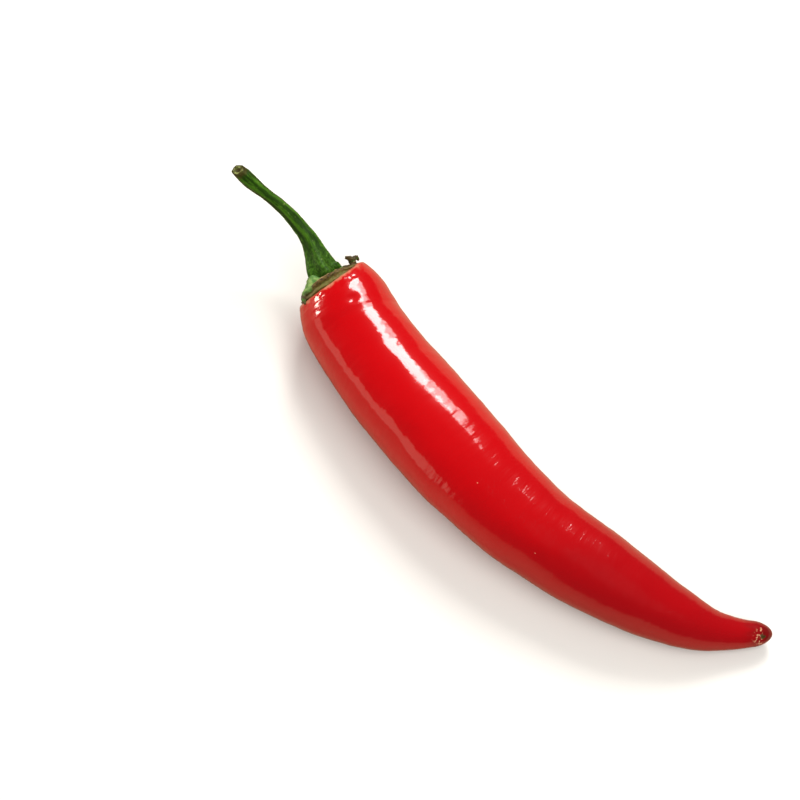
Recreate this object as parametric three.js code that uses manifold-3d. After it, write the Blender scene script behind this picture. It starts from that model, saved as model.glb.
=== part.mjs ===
// A long red chilli pepper, as picked, lying on its side on a flat surface.
//
// Three grown pieces: the pod, the calyx that caps its crown, and the stem on the calyx.
// Millimetres, +Z up. X runs along the pepper, with its tip towards +X. The surface that it lies
// on is Z = 0, and the origin is on that surface, under the middle of the pepper's box.

import * as THREE from 'three';
import Module from 'manifold-3d';

// ---- driving dimensions ----

// Pod. A girth is a place along the pod, as a share of the way round its curve, and a diameter.
const POD_SPAN = 115.7; // straight from the crown to the tip
const POD_BOW = 14; // how far the middle line bows sideways
const POD_GIRTHS = [
  { name: 'crown', along: 0, diameter: 19.8 },
  { name: 'shoulder', along: 0.1, diameter: 20.3 },
  { name: 'belly', along: 0.33, diameter: 21.9 },
  { name: 'flank', along: 0.57, diameter: 18.7 },
  { name: 'lower flank', along: 0.74, diameter: 15.8 },
  { name: 'taper', along: 0.83, diameter: 12.2 },
  { name: 'nose', along: 0.905, diameter: 8.0 },
  { name: 'beak', along: 0.955, diameter: 5.7 },
  { name: 'tip', along: 1, diameter: 4.2 },
];
const COLLAR_DIAMETER = 14; // flat top of the crown, under the calyx
const SHOULDER_ROUND = 8; // length over which the crown rounds out to the full girth
const TIP_ROUND = 2.2; // length of the blunt round end
const SHOULDER_LOBES = 3; // the three chambers that show as soft lobes at the shoulder
const LOBE_DEPTH = 0.015; // lobe height as a share of the radius
const REST_FLAT = 0.2; // how far the soft underside is pressed flat where it rests
const NECK_RISE = 2.8; // how far the crown end lifts off its resting height
const NECK_LENGTH = 14;
const TIP_RISE = 1.2; // the same at the tip
const TIP_CURL = 16;

// Calyx: a frilled disc on the crown, with one dried point hanging over the shoulder and one
// curled up at the far side.
const CALYX_DIAMETER = 13.8;
const CALYX_RIM = 1.5; // thickness at the edge
const CALYX_SEAT = 1.8; // thickness in the middle, where the stem sits
const CALYX_FRILLS = 5;
const FRILL_DEPTH = 0.03; // frill height as a share of the radius
const TOOTH_REACH = 1.8; // how far the hanging point passes the calyx's edge
const TOOTH_DIAMETER = 1.3;
const TOOTH_ANGLE = 19; // degrees round the calyx from the outside of the bow, towards the top
const HOOK_HEIGHT = 1.5; // how far the curled point stands above the calyx's edge
const HOOK_DIAMETER = 1.3;
const HOOK_ANGLE = 152;

// Stem
const STEM_LENGTH = 27.5; // along the crown's axis
const STEM_SWAY = 4.6; // how far its end swings sideways
const STEM_LIFT = 2.8; // how far its end lifts off the crown's axis
const STEM_GIRTHS = [
  { name: 'flare', along: 0, diameter: 6.6 },
  { name: 'root', along: 0.12, diameter: 5.2 },
  { name: 'neck', along: 0.26, diameter: 3.7 },
  { name: 'middle', along: 0.48, diameter: 2.9 },
  { name: 'waist', along: 0.73, diameter: 2.4 },
  { name: 'knuckle', along: 0.9, diameter: 3.05 },
  { name: 'cut', along: 1, diameter: 2.7 },
];
const STEM_RIBS = 5;
const RIB_DEPTH = 0.05; // rib height as a share of the radius
const PITH_DIAMETER = 1.3; // shrunken hollow in the cut end
const PITH_DEPTH = 0.6;

const CLEARANCE = 0.3; // between any two pieces

// ---- shape of the curves ----

// The pod's middle line seen from above: share of the span, and share of the bow.
const BOW_POINTS = [
  [0, -0.01],
  [0.04, 0.09],
  [0.1, 0.295],
  [0.25, 0.63],
  [0.4, 0.88],
  [0.55, 1],
  [0.68, 0.925],
  [0.8, 0.77],
  [0.9, 0.515],
  [0.96, 0.2],
  [1, -0.09],
];

// The stem's middle line in the crown's frame: shares of its length, sway and lift.
const STEM_POINTS = [
  [0, 0, 0],
  [0.04, 0, 0],
  [0.16, -0.14, 0],
  [0.3, -0.22, 0.03],
  [0.45, -0.14, 0.08],
  [0.6, 0.07, 0.2],
  [0.74, 0.4, 0.38],
  [0.88, 0.75, 0.68],
  [1, 1, 1],
];

// Facets: rings along each piece and sides around it.
const POD_RINGS = 64;
const POD_SIDES = 36;
const ROUND_RINGS = 7;
const STEM_RINGS = 34;
const STEM_SIDES = 20;
const CALYX_SIDES = 60;
const POINT_RINGS = 8;
const POINT_SIDES = 10;

const wasm = await Module();
wasm.setup();

const UP = new THREE.Vector3(0, 0, 1);
const CROWN_UP = new THREE.Vector3(0, 1, 0); // in the crown's frame

// ---- helpers ----

// The value at a place along a smooth curve through the girths' diameters.
function girthAt(girths, along) {
  const last = girths.length - 2;
  const next = girths.findIndex((girth) => girth.along > along);
  const i = next < 0 ? last : next - 1;
  const slope = (k) => {
    const low = girths[Math.max(k - 1, 0)];
    const high = girths[Math.min(k + 1, girths.length - 1)];
    return (high.diameter - low.diameter) / (high.along - low.along);
  };
  const [from, to] = [girths[i], girths[i + 1]];
  const width = to.along - from.along;
  const t = (along - from.along) / width;
  const startWeight = 2 * t ** 3 - 3 * t ** 2 + 1;
  const endWeight = 1 - startWeight;
  const startPull = (t ** 3 - 2 * t ** 2 + t) * width * slope(i);
  const endPull = (t ** 3 - t ** 2) * width * slope(i + 1);
  return startWeight * from.diameter + endWeight * to.diameter + startPull + endPull;
}

// A closed solid round a curve. The outline is a list of { along, radius } with along in mm; it
// starts and ends on the curve, at radius 0. swell(angle, along) scales the radius round a ring.
function loft({ curve, outline, sides, up, swell = () => 1 }) {
  const length = curve.getLength();
  const positions = [];
  const indices = [];
  const inner = outline.slice(1, -1);
  const frameAt = (along) => {
    const share = THREE.MathUtils.clamp(along / length, 0, 1);
    const tangent = curve.getTangentAt(share);
    const centre = curve.getPointAt(share).addScaledVector(tangent, along - share * length);
    const side = up.clone().cross(tangent).normalize();
    return { centre, side, top: tangent.clone().cross(side) };
  };
  for (const { along, radius } of inner) {
    const { centre, side, top } = frameAt(along);
    for (let j = 0; j < sides; j += 1) {
      const angle = (2 * Math.PI * j) / sides;
      const reach = radius * swell(angle, along);
      const point = centre.clone();
      point.addScaledVector(side, reach * Math.cos(angle));
      point.addScaledVector(top, reach * Math.sin(angle));
      positions.push(point.x, point.y, point.z);
    }
  }
  const startPole = inner.length * sides;
  const endPole = startPole + 1;
  for (const end of [outline[0], outline[outline.length - 1]]) {
    positions.push(...frameAt(end.along).centre.toArray());
  }
  const lastRing = (inner.length - 1) * sides;
  for (let j = 0; j < sides; j += 1) {
    const k = (j + 1) % sides;
    indices.push(startPole, k, j);
    for (let ring = 0; ring < lastRing; ring += sides) {
      indices.push(ring + j, ring + k, ring + sides + k);
      indices.push(ring + j, ring + sides + k, ring + sides + j);
    }
    indices.push(endPole, lastRing + j, lastRing + k);
  }
  return { positions, indices };
}

function geometryOf({ positions, indices }) {
  const geometry = new THREE.BufferGeometry();
  geometry.setAttribute('position', new THREE.Float32BufferAttribute(positions, 3));
  geometry.setIndex(Array.from(indices));
  geometry.computeVertexNormals();
  return geometry;
}

// The union of closed meshes, as one mesh.
function joined(meshes) {
  const solids = meshes.map(({ positions, indices }) => new wasm.Manifold(new wasm.Mesh({
    numProp: 3,
    vertProperties: new Float32Array(positions),
    triVerts: new Uint32Array(indices),
  })));
  const whole = solids.reduce((sum, solid) => sum.add(solid));
  const { vertProperties, triVerts } = whole.getMesh();
  return { positions: Array.from(vertProperties), indices: Array.from(triVerts) };
}

function piece(name, mesh, color, roughness) {
  const material = new THREE.MeshStandardMaterial({ color, roughness, metalness: 0 });
  const result = new THREE.Mesh(geometryOf(mesh), material);
  result.name = name;
  return result;
}

// A soft bump that is 1 at the end of a stretch and fades to 0 over its length.
const fade = (distance, length) => Math.max(0, 1 - distance / length) ** 2;

// ---- pod ----

// The middle line. Each stretch lies at the height of its own radius, so that the whole
// underside rests, and the two ends lift.
function podCurve() {
  const plan = new THREE.CatmullRomCurve3(BOW_POINTS.map(
    ([span, bow]) => new THREE.Vector3(span * POD_SPAN, -bow * POD_BOW, 0),
  ), false, 'centripetal');
  const length = plan.getLength();
  const steps = 40;
  const points = [];
  for (let i = 0; i <= steps; i += 1) {
    const share = i / steps;
    const point = plan.getPointAt(share);
    const rise = NECK_RISE * fade(share * length, NECK_LENGTH)
      + TIP_RISE * fade((1 - share) * length, TIP_CURL);
    point.z = girthAt(POD_GIRTHS, share) / 2 - REST_FLAT + rise;
    points.push(point);
  }
  return new THREE.CatmullRomCurve3(points, false, 'centripetal');
}

function podOutline(length) {
  const collar = COLLAR_DIAMETER / 2;
  const outline = [{ along: 0, radius: 0 }, { along: 0, radius: collar / 2 }];
  const full = (along) => girthAt(POD_GIRTHS, along / length) / 2;
  for (let i = 0; i < ROUND_RINGS; i += 1) {
    const turn = (Math.PI / 2) * (i / ROUND_RINGS);
    const along = SHOULDER_ROUND * (1 - Math.cos(turn));
    outline.push({ along, radius: collar + (full(along) - collar) * Math.sin(turn) });
  }
  const body = length - SHOULDER_ROUND - TIP_ROUND;
  for (let i = 0; i <= POD_RINGS; i += 1) {
    const along = SHOULDER_ROUND + (body * i) / POD_RINGS;
    outline.push({ along, radius: full(along) });
  }
  for (let i = 1; i < ROUND_RINGS; i += 1) {
    const turn = (Math.PI / 2) * (i / ROUND_RINGS);
    const along = length - TIP_ROUND * (1 - Math.sin(turn));
    outline.push({ along, radius: full(along) * Math.cos(turn) });
  }
  outline.push({ along: length, radius: 0 });
  return outline;
}

function pod(curve) {
  const length = curve.getLength();
  const lobed = (angle, along) => (
    1 + LOBE_DEPTH * Math.cos(SHOULDER_LOBES * angle) * fade(along, length / 2)
  );
  const mesh = loft({
    curve, outline: podOutline(length), sides: POD_SIDES, up: UP, swell: lobed,
  });
  // The skin gives where it touches the surface, so nothing reaches below it.
  for (let i = 2; i < mesh.positions.length; i += 3) {
    mesh.positions[i] = Math.max(mesh.positions[i], 0);
  }
  return piece('pod', mesh, 0xc8060c, 0.25);
}

// ---- calyx, in the crown's frame: +Z out along the crown's axis, +X to the outside of the bow ----

const onAxis = (length) => new THREE.LineCurve3(
  new THREE.Vector3(0, 0, 0),
  new THREE.Vector3(0, 0, length),
);

// A tapered point that runs through places given as [distance out from the axis, height], in the
// upright plane at the angle.
function calyxPoint(angle, places, diameter) {
  const turn = THREE.MathUtils.degToRad(angle);
  const points = places.map(([out, height]) => (
    new THREE.Vector3(out * Math.cos(turn), out * Math.sin(turn), height)
  ));
  const curve = new THREE.CatmullRomCurve3(points, false, 'centripetal');
  const length = curve.getLength();
  const outline = [{ along: 0, radius: 0 }];
  for (let i = 0; i <= POINT_RINGS; i += 1) {
    const share = i / POINT_RINGS;
    outline.push({ along: share * length, radius: (diameter / 2) * (1 - 0.7 * share ** 2) });
  }
  outline.push({ along: length, radius: 0 });
  const across = new THREE.Vector3(-Math.sin(turn), Math.cos(turn), 0);
  return loft({ curve, outline, sides: POINT_SIDES, up: across });
}

function calyx() {
  const rim = CALYX_DIAMETER / 2;
  const seat = STEM_GIRTHS[0].diameter / 2 + CLEARANCE;
  const low = CLEARANCE;
  const edge = low + CALYX_RIM;
  const top = low + CALYX_SEAT;
  const disc = loft({
    curve: onAxis(top),
    outline: [
      { along: low, radius: 0 },
      { along: low, radius: rim / 2 },
      { along: low, radius: rim - CALYX_RIM / 4 },
      { along: low + CALYX_RIM / 3, radius: rim },
      { along: low + (CALYX_RIM * 2) / 3, radius: rim },
      { along: edge, radius: rim - CALYX_RIM / 4 },
      { along: (edge + 2 * top) / 3, radius: (rim + 2 * seat) / 3 },
      { along: top, radius: seat },
      { along: top, radius: seat / 2 },
      { along: top, radius: 0 },
    ],
    sides: CALYX_SIDES,
    up: CROWN_UP,
    swell: (angle) => 1 + FRILL_DEPTH * Math.cos(CALYX_FRILLS * angle),
  });
  const middle = low + CALYX_RIM / 2;
  const clear = TOOTH_DIAMETER / 2;
  const tooth = calyxPoint(TOOTH_ANGLE, [
    [rim - 2 * clear, middle],
    [rim + clear / 2, middle + clear / 2],
    [rim + TOOTH_REACH / 2, middle],
    [rim + TOOTH_REACH, middle - CALYX_RIM],
  ], TOOTH_DIAMETER);
  const foot = rim - HOOK_DIAMETER / 2;
  const hook = calyxPoint(HOOK_ANGLE, [
    [foot, middle],
    [foot, edge],
    [foot + HOOK_DIAMETER / 4, edge + HOOK_HEIGHT * 0.7],
    [foot - HOOK_DIAMETER / 4, edge + HOOK_HEIGHT],
  ], HOOK_DIAMETER);
  return piece('calyx', joined([disc, tooth, hook]), 0x5c5a1e, 0.6);
}

// ---- stem, in the crown's frame ----

function stem() {
  const base = 2 * CLEARANCE + CALYX_SEAT;
  const curve = new THREE.CatmullRomCurve3(STEM_POINTS.map(([along, sway, lift]) => (
    new THREE.Vector3(sway * STEM_SWAY, lift * STEM_LIFT, base + along * STEM_LENGTH)
  )), false, 'centripetal');
  const length = curve.getLength();
  const outline = [{ along: 0, radius: 0 }];
  for (let i = 0; i <= STEM_RINGS; i += 1) {
    const share = i / STEM_RINGS;
    outline.push({ along: share * length, radius: girthAt(STEM_GIRTHS, share) / 2 });
  }
  outline.push({ along: length, radius: PITH_DIAMETER / 2 });
  outline.push({ along: length - PITH_DEPTH, radius: PITH_DIAMETER / 3 });
  outline.push({ along: length - PITH_DEPTH, radius: 0 });
  const mesh = loft({
    curve,
    outline,
    sides: STEM_SIDES,
    up: CROWN_UP,
    swell: (angle) => 1 + RIB_DEPTH * Math.cos(STEM_RIBS * angle),
  });
  return piece('stem', mesh, 0x3a6b1c, 0.55);
}

// ---- assembly ----

const curve = podCurve();
const crown = new THREE.Group();
crown.position.copy(curve.getPointAt(0));
const outward = curve.getTangentAt(0).negate();
const outside = UP.clone().cross(outward).normalize();
crown.quaternion.setFromRotationMatrix(
  new THREE.Matrix4().makeBasis(outside, outward.clone().cross(outside), outward),
);
crown.add(calyx(), stem());

const chilli = new THREE.Group();
chilli.add(pod(curve), crown);
chilli.updateMatrixWorld(true);
const box = new THREE.Box3().setFromObject(chilli, true);
const middle = box.getCenter(new THREE.Vector3());
chilli.position.set(-middle.x, -middle.y, -box.min.z);
chilli.updateMatrixWorld(true);

export default chilli;
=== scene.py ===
"""A long red chilli pepper lying on its side: glossy pod, drying calyx and ribbed green stem.

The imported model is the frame. Everything is in metres, +Z up, with the pepper along X, and the
pieces are built in a growing frame whose origin is the pod's crown before they are moved onto it.
"""

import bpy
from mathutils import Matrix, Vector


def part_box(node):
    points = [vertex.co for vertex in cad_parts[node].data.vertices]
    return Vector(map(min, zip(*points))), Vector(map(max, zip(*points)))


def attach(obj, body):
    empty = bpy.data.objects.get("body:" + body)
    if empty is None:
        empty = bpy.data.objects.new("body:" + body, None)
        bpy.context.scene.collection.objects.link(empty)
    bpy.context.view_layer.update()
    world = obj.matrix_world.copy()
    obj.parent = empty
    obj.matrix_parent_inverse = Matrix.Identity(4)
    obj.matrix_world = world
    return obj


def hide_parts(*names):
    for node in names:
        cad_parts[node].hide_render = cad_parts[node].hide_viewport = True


bl_info = {
    "name": "Red Chilli Pepper",
    "version": (1, 0, 0),
    "blender": (4, 5, 0),
    "location": "3D View > Sidebar > Chilli",
    "description": "Builds a long red chilli pepper with its calyx and stem",
    "category": "Add Mesh",
}

import math

import bpy
import mathutils.noise
import numpy as np
from mathutils import Matrix, Vector

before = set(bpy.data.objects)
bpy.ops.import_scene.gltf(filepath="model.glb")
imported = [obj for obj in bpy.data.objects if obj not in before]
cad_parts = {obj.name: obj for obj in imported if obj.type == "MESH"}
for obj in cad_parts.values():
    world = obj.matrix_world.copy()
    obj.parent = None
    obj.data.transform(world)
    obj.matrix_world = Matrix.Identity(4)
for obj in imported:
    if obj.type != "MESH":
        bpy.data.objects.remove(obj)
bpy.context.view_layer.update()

MM = 0.001
VOXEL = 0.085 * MM  # how finely the calyx's parts are fused
UP = np.array([0.0, 0.0, 1.0])


# ---- sizes and colours that a user would change ----


def linear(code):
    """An sRGB hex colour as linear RGBA."""
    channels = [int(code[i:i + 2], 16) / 255 for i in (1, 3, 5)]
    curve = [c / 12.92 if c <= 0.04045 else ((c + 0.055) / 1.055) ** 2.4 for c in channels]
    return (*curve, 1.0)


def length(name, mm, about):
    return bpy.props.FloatProperty(
        name=name, description=about, default=mm * MM, min=0.0, unit="LENGTH", subtype="DISTANCE")


def turn(name, degrees, about):
    return bpy.props.FloatProperty(
        name=name, description=about, default=math.radians(degrees), subtype="ANGLE",
        unit="ROTATION")


def tint(name, code, about):
    return bpy.props.FloatVectorProperty(
        name=name, description=about, default=linear(code), size=4, min=0.0, max=1.0,
        subtype="COLOR")


class ChilliPodSizes(bpy.types.PropertyGroup):
    span: length("Span", 115.7, "Straight from the crown to the tip")
    bow: length("Bow", 14, "How far the middle line bows sideways")
    crown: length("Crown girth", 19.8, "Full diameter where the pod starts")
    shoulder: length("Shoulder girth", 20.3, "Diameter at the shoulder")
    belly: length("Belly girth", 21.9, "Largest diameter, a third of the way along")
    flank: length("Flank girth", 18.7, "Diameter past the middle")
    lower_flank: length("Lower flank girth", 15.8, "Diameter where the taper starts")
    taper: length("Taper girth", 12.2, "Diameter in the taper")
    nose: length("Nose girth", 8.0, "Diameter where the tip curls")
    beak: length("Beak girth", 5.7, "Diameter just before the tip")
    tip: length("Tip girth", 4.2, "Diameter of the blunt end before it rounds off")
    collar: length("Collar", 14, "Diameter of the flat under the calyx")
    shoulder_round: length("Shoulder round", 10.5, "Length over which the crown rounds out")
    tip_round: length("Tip round", 3.6, "Length of the blunt round end")
    rest_flat: length("Resting flat", 0.2, "How far the underside is pressed flat")
    neck_rise: length("Neck rise", 2.8, "How far the crown lifts off its resting height")
    neck: length("Neck", 14, "Length over which the crown lifts")
    tip_rise: length("Tip rise", 1.2, "How far the tip lifts off its resting height")
    tip_curl: length("Tip curl", 16, "Length over which the tip lifts")
    crown_drop: length("Crown drop", 0.7, "How far the crown and the calyx sink along the pod")
    lip: length("Lip", 0.2, "Height of the raised lip round the calyx")
    lip_lean: length("Lip lean", 0.7, "How much lower the lip is under the front lobe")
    pucker: length("Pucker", 0.5, "Depth of the folds in the lip and the shoulder")
    dent_turn: turn("Dent turn", 86, "Where the dent lies, from the bow's inside upwards")
    scar_back: length("Scar back", 2.3, "How far the scar lies from the tip's end")
    scar_turn: turn("Scar turn", 122, "Where the scar lies, from the bow's inside upwards")
    scar_depth: length("Scar depth", 0.3, "Depth of the scar's pit")


class ChilliCalyxSizes(bpy.types.PropertyGroup):
    diameter: length("Diameter", 13.8, "Across the frilled edge")
    rim: length("Rim", 1.5, "Thickness at the edge")
    seat: length("Seat", 1.8, "Thickness under the stem")
    gap: length("Gap", 0.3, "Between the crown and the calyx in the frame")
    lobe: length("Lobe height", 2.6, "How far the front lobe rises beside the stem")
    lobe_turn: turn("Lobe turn", 19, "Where the front lobe lies, from the bow's outside upwards")
    grain: length("Grain", 0.13, "Height of the leathery grain")


class ChilliStemSizes(bpy.types.PropertyGroup):
    length: length("Length", 27.5, "Along the crown's axis")
    sway: length("Sway", 4.6, "How far the end swings sideways")
    lift: length("Lift", 2.8, "How far the end lifts off the crown's axis")
    flare: length("Flare", 6.6, "Diameter of the foot")
    root: length("Root", 5.2, "Diameter just above the foot")
    neck: length("Neck", 3.7, "Diameter where the flare ends")
    middle: length("Middle", 2.9, "Diameter halfway")
    waist: length("Waist", 2.4, "Thinnest diameter")
    knuckle: length("Knuckle", 3.05, "Diameter of the swelling before the cut")
    cut: length("Cut end", 2.7, "Diameter of the cut end")
    pith: length("Pith", 1.3, "Diameter of the hollow in the cut end")
    pith_depth: length("Pith depth", 0.6, "Depth of the hollow in the cut end")
    slant: bpy.props.FloatProperty(
        name="Cut slant", description="Slope of the cut end, facing upwards", default=0.6)


class ChilliColours(bpy.types.PropertyGroup):
    skin: tint("Skin", "#AA0005", "Ripe red skin")
    skin_deep: tint("Deep skin", "#8E0208", "Skin towards the tip and in patches")
    skin_tip: tint("Tip skin", "#5A0A0A", "Skin round the tip's scar")
    cork_and_highlight: tint("Cork", "#C08C6C", "Dry line and painted highlight on the lip round the calyx")
    # Colour of dry cork, also used as a painted highlight on the lip line and on the crumbs by the
    # tip's scar.
    pore: tint("Pore", "#E8A080", "Pale pores in the skin")
    scar: tint("Scar", "#3A3212", "Dried scar at the tip and behind the cut")
    leaf: tint("Calyx green", "#3D6E26", "Living part of the calyx")
    leaf_pale: tint("Calyx pale green", "#7C974E", "Bloom on the living part")
    leaf_dry: tint("Calyx brown", "#5E4A1C", "Dried edge of the calyx")
    leaf_dark: tint("Calyx dark brown", "#33260C", "Hollows of the dried edge")
    # A painted highlight along the top of the calyx's rim.
    rim_highlight: tint("Calyx tan", "#B09060", "Painted highlight along the rim top")
    leaf_burnt: tint("Tooth brown", "#3A3010", "Drooping front tooth")
    skirt: tint("Skirt", "#5F5F26", "Olive underside of the edge")
    stalk: tint("Stalk", "#1D3804", "Stem between its ribs")
    # The furrow and ridge colours carry painted shade in the stem's furrows and a painted highlight
    # on its rib crests, besides the stalk's own streaks.
    stalk_streak_and_furrow_shade: tint("Stalk furrow", "#132C03", "Furrows of the stem")
    stalk_streak_and_crest_highlight: tint("Stalk ridge", "#3A6010", "Crest of the stem's ribs")
    stalk_foot: tint("Stalk foot", "#3D6418", "Pebbled foot of the stem")
    cut: tint("Cut", "#8F9658", "Fresh ring of the cut end")
    around: tint("Around", "#A67E66", "What the skin's gloss sees of the floor")
    floor: tint("Floor", "#DCDAD5", "Studio floor")


# ---- lines and profiles ----

# Middle line of the pod from above: share of the span, share of the bow.
BOW_POINTS = (
    (0, -0.01), (0.04, 0.09), (0.1, 0.295), (0.25, 0.63), (0.4, 0.88), (0.55, 1),
    (0.68, 0.925), (0.8, 0.77), (0.9, 0.515), (0.96, 0.2), (1, -0.09),
)

# Middle line of the stem in the crown's frame: shares of its length, sway and lift.
STEM_POINTS = (
    (0, 0, 0), (0.04, 0, 0), (0.16, -0.14, 0), (0.3, -0.22, 0.03), (0.45, -0.14, 0.08),
    (0.6, 0.07, 0.2), (0.74, 0.4, 0.38), (0.88, 0.75, 0.68), (1, 1, 1),
)


def smooth_through(stations, x):
    """Values at x on a smooth curve through (place, value) stations."""
    places, values = np.array(stations, dtype=float).T
    x = np.asarray(x, dtype=float)
    slopes = np.empty_like(values)
    slopes[1:-1] = (values[2:] - values[:-2]) / (places[2:] - places[:-2])
    slopes[0] = (values[1] - values[0]) / (places[1] - places[0])
    slopes[-1] = (values[-1] - values[-2]) / (places[-1] - places[-2])
    i = np.clip(np.searchsorted(places, x, side="right") - 1, 0, len(places) - 2)
    width = places[i + 1] - places[i]
    t = (x - places[i]) / width
    end = 3 * t ** 2 - 2 * t ** 3
    pull = (t ** 3 - 2 * t ** 2 + t) * slopes[i] + (t ** 3 - t ** 2) * slopes[i + 1]
    return values[i] * (1 - end) + values[i + 1] * end + width * pull


def fade(distance, reach):
    """1 at the end of a stretch, easing to 0 over its reach."""
    return np.clip(1 - distance / reach, 0, 1) ** 2


def ease(low, high, x):
    t = np.clip((x - low) / (high - low), 0, 1)
    return t * t * (3 - 2 * t)


class Path:
    """A smooth centripetal line through points, measured along its length."""

    STEPS = 60

    def __init__(self, points):
        points = np.array(points, dtype=float)
        ends = (2 * points[:1] - points[1:2], points, 2 * points[-1:] - points[-2:-1])
        p = np.concatenate(ends)
        dense = []
        for a, b, c, d in zip(p, p[1:], p[2:], p[3:]):
            knots = np.cumsum([0] + [np.linalg.norm(v) ** 0.5 for v in (b - a, c - b, d - c)])
            t = np.linspace(knots[1], knots[2], self.STEPS, endpoint=False)[:, None]

            def blend(low, high, i, j):
                return (low * (knots[j] - t) + high * (t - knots[i])) / (knots[j] - knots[i])

            ab, bc, cd = blend(a, b, 0, 1), blend(b, c, 1, 2), blend(c, d, 2, 3)
            dense.append(blend(blend(ab, bc, 0, 2), blend(bc, cd, 1, 3), 1, 2))
        dense.append(points[-1:])
        self.points = np.concatenate(dense)
        steps = np.linalg.norm(np.diff(self.points, axis=0), axis=1)
        self.marks = np.concatenate([[0], np.cumsum(steps)])
        self.length = self.marks[-1]
        self.slopes = np.gradient(self.points, self.marks, axis=0)

    def at(self, along):
        """Centres and directions at distances along it, carried on straight past its ends."""
        inside = np.clip(along, 0, self.length)
        centre, direction = (
            np.stack([np.interp(inside, self.marks, column) for column in table.T], axis=1)
            for table in (self.points, self.slopes))
        direction /= np.linalg.norm(direction, axis=1, keepdims=True)
        return centre + direction * (along - inside)[:, None], direction


def hump(x, middle, width):
    """1 in the middle, falling away smoothly on both sides."""
    return np.exp(-((x - middle) / width) ** 2)


def girth_table(sizes, *stations):
    return [(place, getattr(sizes, name)) for place, name in stations]


def pod_girths(sizes):
    return girth_table(
        sizes, (0, "crown"), (0.1, "shoulder"), (0.33, "belly"), (0.57, "flank"),
        (0.74, "lower_flank"), (0.83, "taper"), (0.905, "nose"), (0.955, "beak"), (1, "tip"))


def stem_girths(sizes):
    return girth_table(
        sizes, (0, "flare"), (0.12, "root"), (0.26, "neck"), (0.48, "middle"),
        (0.73, "waist"), (0.9, "knuckle"), (1, "cut"))


def pod_path(sizes):
    """Middle line of the pod: each stretch lies at the height of its own radius."""
    plan = Path([(x * sizes.span, -y * sizes.bow, 0) for x, y in BOW_POINTS])
    share = np.linspace(0, 1, 41)
    line, _ = plan.at(share * plan.length)
    rise = sizes.neck_rise * fade(share * plan.length, sizes.neck)
    rise += sizes.tip_rise * fade((1 - share) * plan.length, sizes.tip_curl)
    line[:, 2] = smooth_through(pod_girths(sizes), share) / 2 - sizes.rest_flat + rise
    return Path(line)


def pod_outline(sizes, whole):
    """Distances along the pod and radii, from the middle of the crown to the tip's scar."""
    def full(along):
        return smooth_through(pod_girths(sizes), along / whole) / 2

    collar = sizes.collar / 2
    share = np.linspace(0, 1, 16)[:-1]
    crown = zip(0.5 * MM * (1 - share ** 3), collar * share)
    turns = np.linspace(0, math.pi / 2, 44)[:-1]
    along = sizes.shoulder_round * (1 - np.cos(turns))
    shoulder = zip(along, collar + (full(along) - collar) * np.sin(turns))
    along = np.linspace(sizes.shoulder_round, whole - sizes.tip_round, 330)
    body = zip(along, full(along))
    turns = np.linspace(0, math.pi / 2, 26)[1:]
    along = whole - sizes.tip_round * (1 - np.sin(turns))
    tip = zip(along, full(along) * np.cos(turns))
    along, radius = np.array([*crown, *shoulder, *body, *tip]).T
    near_crown = along < sizes.shoulder_round
    along = along - sizes.lip * hump(radius, collar + 1.0 * MM, 0.5 * MM) * near_crown
    along = along + sizes.crown_drop * fade(np.maximum(along, 0), 12 * MM)
    return np.stack([along, radius], axis=1)


def scar_place(sizes, whole):
    """Where the flower fell off, in the straightened pod."""
    along = whole - sizes.scar_back
    radius = smooth_through(pod_girths(sizes), along / whole) / 2
    radius *= math.sqrt(1 - (1 - sizes.scar_back / sizes.tip_round) ** 2)
    return along, radius * math.cos(sizes.scar_turn), radius * math.sin(sizes.scar_turn)


def frames_along(path, along, up):
    centre, direction = path.at(along)
    side = np.cross(up, direction)
    side /= np.linalg.norm(side, axis=1, keepdims=True)
    return centre, side, np.cross(direction, side)


class Growth:
    """The pod's line, the crown's axes and the step from the growing frame to the frame."""

    def __init__(self, sizes):
        self.path = pod_path(sizes)
        along, radius = pod_outline(sizes, self.path.length).T
        centre, side, _ = frames_along(self.path, along, UP)
        edges = np.concatenate([centre + side * radius[:, None], centre - side * radius[:, None]])
        low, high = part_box("pod")
        middle = (np.array(low) + np.array(high)) / 2
        step = middle - (edges.min(axis=0) + edges.max(axis=0)) / 2
        self.step = np.array([step[0], step[1], 0.0])
        origin, inward = self.path.at(np.zeros(1))
        outward = -inward[0]
        outside = np.cross(UP, outward)
        outside /= np.linalg.norm(outside)
        self.axes = np.stack([outside, np.cross(outward, outside), outward])
        self.crown = origin[0] + self.step - outward * sizes.crown_drop

    def from_crown(self, points):
        """Places in the crown's frame (outside of the bow, up, outwards) as places in the frame."""
        return np.asarray(points) @ self.axes + self.crown


# ---- node trees ----


def add(tree, kind, inputs=None, **settings):
    """A node with its settings; an input is a value, or a socket to link from."""
    node = tree.nodes.new(kind)
    for name, value in settings.items():
        setattr(node, name, value)
    for key, value in (inputs or {}).items():
        if isinstance(value, bpy.types.NodeSocket):
            tree.links.new(value, node.inputs[key])
        else:
            node.inputs[key].default_value = value
    return node


def maths(tree, operation, *values):
    """The result of a sum on numbers or sockets."""
    return add(tree, "ShaderNodeMath", dict(enumerate(values)), operation=operation).outputs[0]


def times(tree, first, second):
    return maths(tree, "MULTIPLY", first, second)


def vectors(tree, operation, *values, give="Vector"):
    """The result of a sum on vectors or sockets."""
    return add(tree, "ShaderNodeVectorMath", dict(enumerate(values)),
               operation=operation).outputs[give]


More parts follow.
